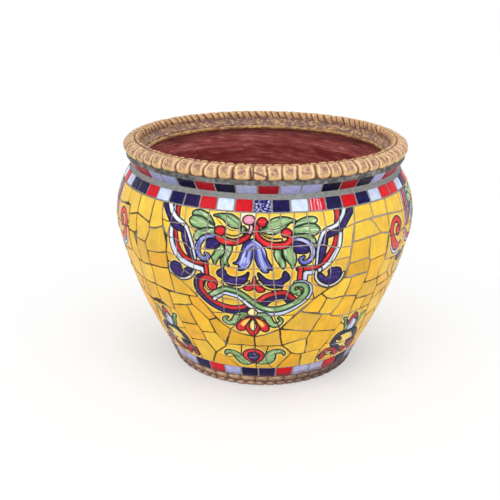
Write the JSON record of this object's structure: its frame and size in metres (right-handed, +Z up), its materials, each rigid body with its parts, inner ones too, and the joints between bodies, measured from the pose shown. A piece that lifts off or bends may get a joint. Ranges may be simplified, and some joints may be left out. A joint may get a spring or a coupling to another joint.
{
  "type": "flower pot",
  "caption": "Bellied floor pot with a glazed mosaic of golden crazy paving, painted panels and small tile rows, pressed rolls at rim and foot, and a drain hole in its floor.",
  "frame": {"origin": "middle of the foot, on the floor that the pot stands on", "axes": "+Z up along the pot's axis; -Y towards the front painted panel; +X towards the right side panel"},
  "size_m": [0.4038, 0.4022, 0.31],
  "materials": {
    "terracotta": "brushed red-brown clay, matt",
    "mortar": "grey-brown grout, matt",
    "ochre_glaze": "ochre glaze with a brown wash in the grooves",
    "yellow_glaze": "golden yellow glaze, glossy",
    "painted_glaze": "golden yellow glaze with painted ornament in navy, red, green, blue and white",
    "navy_glaze": "navy glaze, glossy",
    "red_glaze": "red glaze, glossy",
    "white_glaze": "white glaze, glossy",
    "lilac_glaze": "pale lilac glaze, glossy",
    "striped_glaze": "red and white striped glaze",
    "figured_glaze": "blue brush marks on white glaze"
  },
  "bodies": {
    "root": {"base_row_lilac": "lilac_glaze", "base_row_navy": "navy_glaze", "base_row_red": "red_glaze", "clay_pot": "terracotta", "field_left_of_back": "yellow_glaze", "field_left_of_front": "yellow_glaze", "field_right_of_back": "yellow_glaze", "field_right_of_front": "yellow_glaze", "flower_back": "painted_glaze", "flower_front": "painted_glaze", "flower_left": "painted_glaze", "flower_right": "painted_glaze", "foot_bricks": "ochre_glaze", "foot_pebbles": "ochre_glaze", "lip_bead": "ochre_glaze", "low_field_back": "yellow_glaze", "low_field_front": "yellow_glaze", "low_field_left": "yellow_glaze", "low_field_right": "yellow_glaze", "mortar_coat": "mortar", "neck_row_lilac": "lilac_glaze", "neck_row_navy": "navy_glaze", "neck_row_red": "red_glaze", "panel_back": "painted_glaze", "panel_front": "painted_glaze", "panel_left": "painted_glaze", "panel_right": "painted_glaze", "rim_roll": "ochre_glaze", "shoulder_row_figured": "figured_glaze", "shoulder_row_navy": "navy_glaze", "shoulder_row_red": "red_glaze", "shoulder_row_striped": "striped_glaze", "shoulder_row_white": "white_glaze", "tulip_back": "painted_glaze", "tulip_front": "painted_glaze", "tulip_left": "painted_glaze", "tulip_right": "painted_glaze"}
  },
  "joints": []
}
